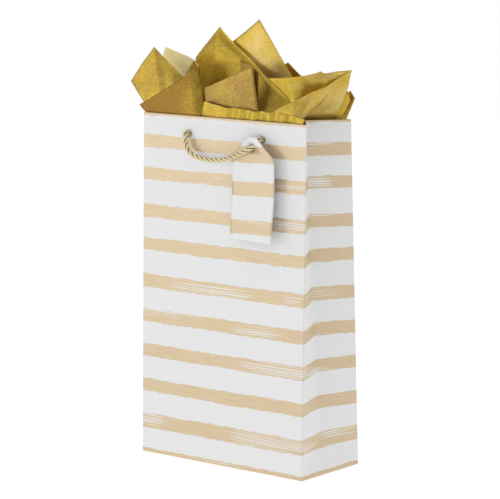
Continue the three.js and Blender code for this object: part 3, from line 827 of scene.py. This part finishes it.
# ---------------- tissue paper
# A sheet is made of leaves. A leaf is a row of columns, and a column is three points up the
# sheet: x, y, z where it passes the rim, half way, and at its free edge. foot is the middle of
# the leaf's cut lower end, x and y. pale_and_painted_light is how pale the leaf shows at its first and
# its last column, partly the paper side against the gold coat and partly painted shade or painted
# light, low_painted_light how much painted light makes it paler down to the foot, and
# painted_edge_highlight how much painted highlight its free edge gets towards its last column. rub is
# how much of its coat is rubbed off, crumple how deep its creases are, and curl how far its free edge
# curls back.
FOOT_Z = 200
FOOT_SPREAD = 26
TISSUE = 0.15  # thickness
LEAF_STEPS = 8  # grid columns between two of a leaf's columns
ROWS_BELOW = 16  # grid rows from the foot to the rim
ROWS_ABOVE = 33
LEAVES = {
    "tissue_left": (
        {"pale_and_painted_light": (0.28, 0.22), "rub": 0.6, "crumple": 0.5, "foot": (-42, -9), "columns": (
            ((-95, -34, 331), (-109, -32, 345), (-121.7, -30, 357.5)),
            ((-88, -33.5, 331), (-98, -31, 354), (-107.5, -28.5, 376)),
            ((-79, -32.5, 331), (-87, -31, 362), (-94.2, -27, 391.4)),
            ((-68, -31, 331), (-77, -30, 358), (-84, -26.5, 383)),
            ((-55, -30, 331), (-64, -30, 353), (-71, -26.5, 373.5)),
            ((-43, -29, 331), (-51, -28, 347), (-58, -26, 364)),
            ((-33, -27, 331), (-37, -26, 342), (-42, -25, 353)))},
        {"pale_and_painted_light": (1.1, 1.0), "rub": 0.1, "crumple": 0.3, "foot": (-38, -4), "columns": (
            ((-64, -11, 331), (-80, -12, 356), (-94.7, -14, 382.2)),
            ((-60, -12, 331), (-75, -14, 360), (-88.5, -17, 391)),
            ((-53, -15, 331), (-62, -17, 359), (-68, -20, 386.4)),
            ((-45, -19, 331), (-49, -21, 357), (-56, -22, 383.7)),
            ((-40, -22, 331), (-42, -24, 357), (-47, -24, 380.8)),
            ((-33, -27, 331), (-35, -28, 356), (-38.2, -28, 376.7)))},
        {"pale_and_painted_light": (0.2, -0.15), "rub": 0.1, "crumple": 0.15, "foot": (-30, -13), "columns": (
            ((-33, -27, 331), (-35, -28, 356), (-38.2, -28, 376.7)),
            ((-27.2, -33.5, 331), (-30.6, -32.5, 353), (-37, -30, 373)),
            ((-31, -35.5, 331), (-35, -34.4, 354), (-41.1, -31, 381.5)),
            ((-36, -36.4, 331), (-40, -35.6, 351), (-45.3, -33, 374.3)),
            ((-43, -36.7, 331), (-47, -36, 348), (-50, -34.5, 365.7)),
            ((-58, -36.8, 331), (-61, -36.5, 345), (-62.9, -35.5, 358.6)),
            ((-72, -36.8, 331), (-74.5, -36.6, 341), (-76.4, -36, 351.3)),
            ((-86, -36.8, 331), (-88, -36.8, 337.5), (-90, -36.4, 343.9)),
            ((-98, -36.8, 330.5), (-101.5, -36.8, 333.3), (-105, -36.6, 336.6)))}),
    "tissue_centre": (
        {"pale_and_painted_light": (0.25, 0.25), "rub": 0.2, "crumple": 0.4, "foot": (-16, 2), "curl": 2.2,
         "painted_edge_highlight": 0.5, "columns": (
            ((-53, -8, 331), (-60, -5, 354), (-66, -1, 380.9)),
            ((-48, -8, 331), (-52, -5, 361), (-57, -1, 391)),
            ((-37, -9, 331), (-37, -7, 370), (-35.5, -2, 411.5)),
            ((-26, -10, 331), (-22, -7.5, 364), (-18.2, -3, 397.4)),
            ((-12, -12, 331), (-7, -9, 358), (-2.8, -5, 387.7)),
            ((6, -21, 331), (8, -12, 354), (9.4, -6, 379.5)),
            ((22, -26, 331), (25, -17, 351), (24.7, -11, 370.2)),
            ((38, -30, 331), (40, -22, 347), (39.2, -15, 362.4)),
            ((50, -31, 331), (53, -24.5, 343), (53.6, -18, 354.6)),
            ((58, -31, 331), (62, -26, 339.5), (66.6, -20, 347.3)))},
        {"pale_and_painted_light": (0.42, 0.38), "low_painted_light": 1.0, "rub": 0.9, "crumple": 0.3, "foot": (4, 5),
         "columns": (
            ((-24, 0, 331), (-28, 1, 362), (-30.8, 2, 391)),
            ((-14, 0, 331), (-17, 1, 365), (-21.6, 2, 398)),
            ((-3, 0, 331), (-4, 1, 370), (-5.3, 2, 408.5)),
            ((8, 0, 331), (10, 1, 375), (10.9, 2, 420)),
            ((20, 0, 331), (23, 1, 366), (22.3, 2, 404.6)),
            ((33, 0, 331), (37, 1, 358), (37.8, 2, 384)),
            ((46, 0, 331), (48, 1, 350), (50.1, 2, 367.7)),
            ((54, 0, 331), (56.5, 1, 342), (59.2, 2, 353)))}),
    "tissue_front": (
        {"pale_and_painted_light": (0.1, 0.15), "rub": 1.0, "crumple": 0.3, "foot": (2, -14), "columns": (
            ((-28, -31, 331), (-29, -31.5, 343), (-29.2, -32, 355.8)),
            ((-8, -31.5, 331), (-10, -31.5, 347), (-10, -31.2, 363.5)),
            ((12, -31.5, 331), (10, -30.8, 351), (8.6, -30.2, 371.4)),
            ((37, -31, 331), (32.4, -30.2, 355), (27.3, -29, 379.2)))},
        {"pale_and_painted_light": (0.1, 0.05), "rub": 0.3, "foot": (6, -12), "columns": (
            ((12, -27, 331), (11, -26, 356), (9.1, -24, 383.2)),
            ((22, -27, 331), (21, -25.5, 356), (20, -23.5, 380.5)),
            ((33, -27, 331), (31, -25, 352), (30, -23, 373)))},
        {"pale_and_painted_light": (0.35, 0.35), "rub": 0.3, "crumple": 0.5, "foot": (4, -16), "columns": (
            ((-29, -35.2, 331), (-28, -35.2, 338), (-26.3, -35.2, 344.2)),
            ((-19, -36, 331), (-17, -36, 337), (-14, -35.8, 342)),
            ((-9, -36.3, 331), (-7, -36.2, 336), (-4, -36, 340.6)),
            ((1, -36.5, 331), (2, -36.4, 335.5), (2.9, -36.2, 339.4)),
            ((9, -35.6, 331), (10, -35.6, 335.5), (11, -35.5, 339.8)),
            ((17, -36.6, 331), (18, -36.6, 335.5), (19, -36.4, 339.6)),
            ((25, -35, 331), (26, -35, 335), (27, -34.9, 339)),
            ((34, -36.6, 331), (34.5, -36.6, 334.8), (35, -36.2, 338)),
            ((42, -34.6, 331), (42, -34.6, 335), (43, -34.4, 338.8)),
            ((52, -36.6, 331), (52, -36.6, 335), (52.5, -36.2, 338)),
            ((59, -35, 331), (59.5, -35, 335), (60, -34.8, 339)),
            ((67, -36.5, 331), (67.5, -36.4, 334.5), (69, -36.2, 337.6)),
            ((76, -35.2, 331), (76.5, -35.2, 334), (78, -35, 337)),
            ((85, -36.6, 331), (85.5, -36.5, 333.3), (87, -36.2, 335.4)),
            ((93, -36.4, 331), (93.3, -36.3, 332.6), (94, -36, 334.2)))}),
    "tissue_right": (
        {"pale_and_painted_light": (0.42, 0.62), "rub": 0.1, "crumple": 0.4, "foot": (34, -6), "columns": (
            ((60, -27, 331), (66, -22, 347), (43, -27, 368.5)),
            ((66, -26, 331), (71, -22, 352), (62.6, -26, 369.9)),
            ((70, -24, 331), (76, -19, 355), (73, -24.5, 371.2)),
            ((70, -18, 331), (81, -14, 358), (81, -20, 372.3)),
            ((68, -12, 331), (85, -8, 361), (85, -10, 374)),
            ((65, -7, 331), (88, -4, 362.5), (87.6, -5, 375.9)),
            ((65, -2, 331), (92, -1, 363.5), (90, -1.5, 373.8)),
            ((69, 4, 331), (97, 5, 366), (98.7, 8, 375.7)),
            ((73, 9, 331), (102, 11, 369), (110.5, 14, 376.9)))},
        {"pale_and_painted_light": (0.55, 0.55), "rub": 0.1, "crumple": 0.4, "foot": (38, -8), "columns": (
            ((50, -34.5, 331), (53, -34.4, 335), (56, -34, 339.6)),
            ((68, -35, 331), (78, -34, 343), (86.9, -31, 353.9)),
            ((84, -34.5, 331), (90, -29, 345), (92.8, -24, 358.6)),
            ((82, -29, 331), (92, -20, 347), (95.1, -16, 360.4)),
            ((76, -18, 331), (92, -9, 349), (96.9, -8, 362.8)),
            ((66, -5, 331), (91, -3, 350), (98.6, -2.5, 365.7)),
            ((74, 6, 331), (96, 6, 351), (100.3, 3, 368.7)),
            ((87, 21.5, 331.5), (100, 17, 352), (109.2, 14, 376.9)))},
        {"pale_and_painted_light": (0.15, 0.4), "rub": 0.2, "foot": (44, 0), "columns": (
            ((80, 14, 332), (93, 15, 345), (98, 17, 352)),
            ((85, 19, 332), (97, 19, 345), (102, 18, 357)),
            ((91, 24.5, 332), (101, 22, 346), (103, 20, 350)))}),
    "tissue_back": (
        {"pale_and_painted_light": (0.4, 0.2), "rub": 0.3, "foot": (6, 9), "columns": (
            ((-48, 10, 331), (-56, 12, 342), (-62, 14, 352)),
            ((-14, 13, 331), (-17, 14, 352), (-20, 15, 372)),
            ((20, 14, 331), (28, 13, 354), (34.6, 11, 378.9)),
            ((24, 14, 331), (31, 13, 356), (37, 12, 380.8)),
            ((40, 14, 331), (47, 13, 350), (52.6, 12, 369)),
            ((62, 16, 331), (66, 16, 344), (70, 15, 357)),
            ((82, 19, 331), (88, 21, 343), (93.7, 24, 351.5)),
            ((88, 22, 331), (93, 24, 343), (99.9, 25, 356.9)),
            ((95.5, 25.5, 331), (100, 26, 341), (104.6, 26, 349.7)))},),
}


def leaf_points(columns, foot, curl=0):
    """A leaf's grid of points, rows going up it.

    The outline is straight between the columns, and the depth is smooth across them.
    """
    spans = len(columns) - 1
    net = []
    for k, (rim, *above) in enumerate(columns):
        spread = (k / spans - 0.5) * FOOT_SPREAD
        base = np.array([foot[0] + spread, foot[1], FOOT_Z])
        deep = base + (rim - base) * (0.5, 0.42, 0.5)
        net.append([base, deep, rim, *above])
    net = np.array(net)
    across = np.linspace(0, spans, spans * LEAF_STEPS + 1)
    whole = np.minimum(across.astype(int), spans - 1)
    share = (across - whole)[:, None, None]
    straight = net[whole] * (1 - share) + net[whole + 1] * share
    curved = smooth_between(net, across)
    net = np.concatenate([straight[..., :1], curved[..., 1:2], straight[..., 2:]], axis=-1)
    net = net.transpose(1, 0, 2)
    below = smooth_between(net[:3], np.linspace(0, 2, ROWS_BELOW, endpoint=False))
    up = np.linspace(0, 2, ROWS_ABOVE)
    above = smooth_between(net[2:], up)
    above[..., 1] += curl * smooth(up, 1.7, 2)[:, None] ** 2
    return np.concatenate([below, above])


def crumple(points, amount, seed):
    """Displaces a leaf's grid: a few soft creases and fine wrinkles, less of them at the rim."""
    normal = np.cross(np.gradient(points, axis=1), np.gradient(points, axis=0))
    normal /= np.maximum(np.linalg.norm(normal, axis=-1), 1e-9)[..., None]
    move = []
    for p in points.reshape(-1, 3):
        spot = Vector(p) + Vector((seed * 37.1, seed * 11.3, 0))
        broad = 1 - abs(noise.noise(spot / 34)) * 2
        creases = (1 - abs(noise.noise(spot / 17 + Vector((9, 4, 2))) * 2)) ** 3
        fine = noise.noise(spot / 5.5)
        move.append(0.7 * broad + 0.55 * creases + 0.16 * fine - 0.5)
    free = amount * (smooth(points[..., 2], 328, 345) * 0.8 + 0.2)
    return points + normal * (np.array(move).reshape(free.shape) * free)[..., None]


def leaf_pale_and_painted_light(leaf, rows, columns):
    """How pale each point of a leaf shows, with its painted shade and painted light."""
    across = np.linspace(*leaf["pale_and_painted_light"], columns)
    down = np.linspace(1, 0, rows)[:, None]
    # painted highlight along the free edge, growing towards the last column
    edge = np.outer(smooth(np.arange(rows), rows - 4, rows), np.linspace(0, 1, columns) ** 0.5)
    # painted light making the leaf paler towards its foot, over the shade that falls there
    return across + leaf.get("low_painted_light", 0) * down + leaf.get("painted_edge_highlight", 0) * edge


def make_tissue_sheet(name, leaves, material):
    points = []
    faces = []
    pale_and_painted_light = []
    rub = []
    for number, leaf in enumerate(leaves):
        smooth_leaf = leaf_points(leaf["columns"], leaf["foot"], leaf.get("curl", 0))
        grid = crumple(smooth_leaf, leaf.get("crumple", 1), number + len(name))
        rows, columns = grid.shape[:2]
        starts = [len(points) + r * columns + c for r in range(rows - 1) for c in range(columns - 1)]
        faces += [(a, a + 1, a + columns + 1, a + columns) for a in starts]
        points += list(grid.reshape(-1, 3))
        pale_and_painted_light += list(leaf_pale_and_painted_light(leaf, rows, columns).ravel())
        rub += [leaf["rub"]] * rows * columns
    sheet = add_mesh(f"{name}_paper", points, faces, [material])
    set_values(sheet, "pale_and_painted_light", pale_and_painted_light)
    set_values(sheet, "rub", rub)
    thicken(sheet, TISSUE, offset=0)
    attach(sheet, "tissue")
    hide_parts(name)


def make_tissue():
    material = gold_tissue()
    for name, leaves in LEAVES.items():
        make_tissue_sheet(name, leaves, material)


# ---------------- carried-over CAD nodes
def finish_cad_nodes():
    """The base flaps and the loose card keep their CAD shapes and get their finishes."""
    inner = plain_paper("inner_paper_plain", FLAP_WHITE)
    card = plain_paper("grey_card", CARD_GREY, 0.9, 0.5)
    finishes = {"base_outer_flap": inner, "base_inner_flap": inner, "left_base_flap": inner,
                "right_base_flap": inner, "base_board": card}
    for node, material in finishes.items():
        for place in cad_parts[node].material_slots:
            place.material = material


# ---------------- camera, lights and stage
CAMERA_AZIMUTH = math.radians(38.77)
CAMERA_ELEVATION = math.radians(8.773)
CAMERA_DISTANCE = 2.3096  # metres, as all in this section
CAMERA_TARGET = Vector((0.00107, 0, 0.202))
LENS = 175.3
SENSOR = 36
CLIP_END = 50
SKY = 0.635  # strength of the studio's even light
SKY_TINT = (0.985, 0.99, 1, 1)
FLOOR_GLOW = 0.44
FLOOR_REACH = 30
FLOOR_DROP = 0.0005  # so that the floor doesn't meet the bag's underside
LIGHTS = (  # name, position, aim, diameter, power
    ("key", (-1.75, -1.1, 0.95), (0, 0, 0.2), 1.2, 3),
    ("softbox", (-1.35, -1.8, 0.35), (0, 0, 0.2), 0.7, 3.4),
    ("rear_fill", (1.0, 1.9, 0.9), (0, 0, 0.2), 1.4, 5),
    ("top", (0.2, -0.5, 2.2), (0, 0, 0.3), 0.8, 5))


def make_camera():
    flat = math.cos(CAMERA_ELEVATION)
    back = Vector((math.sin(CAMERA_AZIMUTH) * flat, -math.cos(CAMERA_AZIMUTH) * flat,
                   math.sin(CAMERA_ELEVATION)))
    data = bpy.data.cameras.new("camera")
    data.sensor_width = SENSOR
    data.lens = LENS
    data.clip_end = CLIP_END
    camera = bpy.data.objects.new("camera", data)
    bpy.context.scene.collection.objects.link(camera)
    camera.location = CAMERA_TARGET + back * CAMERA_DISTANCE
    camera.rotation_euler = back.to_track_quat("Z", "Y").to_euler()
    bpy.context.scene.camera = camera


def add_light(name, position, aim, size, power):
    data = bpy.data.lights.new(name, "AREA")
    data.shape = "DISK"
    data.size = size
    data.energy = power
    lamp = bpy.data.objects.new(name, data)
    bpy.context.scene.collection.objects.link(lamp)
    lamp.location = position
    lamp.rotation_euler = (Vector(position) - Vector(aim)).to_track_quat("Z", "Y").to_euler()


def make_floor():
    white = Shader("stage_white").surface(Base_Color=(0.9, 0.9, 0.9, 1), Roughness=0.9,
                                          Emission_Color=(1, 1, 1, 1), Emission_Strength=FLOOR_GLOW)
    corners = np.array([(-1, -1, 0), (1, -1, 0), (1, 1, 0), (-1, 1, 0)]) * FLOOR_REACH / MM
    floor = add_mesh("floor", corners, [(0, 1, 2, 3)], [white])
    floor.location.z = -FLOOR_DROP


def make_sky():
    world = bpy.data.worlds.new("studio")
    world.use_nodes = True
    background = world.node_tree.nodes["Background"]
    background.inputs["Color"].default_value = SKY_TINT
    background.inputs["Strength"].default_value = SKY
    bpy.context.scene.world = world
    bpy.context.scene.view_settings.view_transform = "Standard"


make_camera()
make_cords()
make_shell([striped_paper("printed_paper_stripes"), plain_paper("unprinted_paper", LINING)])
make_tag()
make_tissue()
finish_cad_nodes()
make_floor()
make_sky()
for light in LIGHTS:
    add_light(*light)
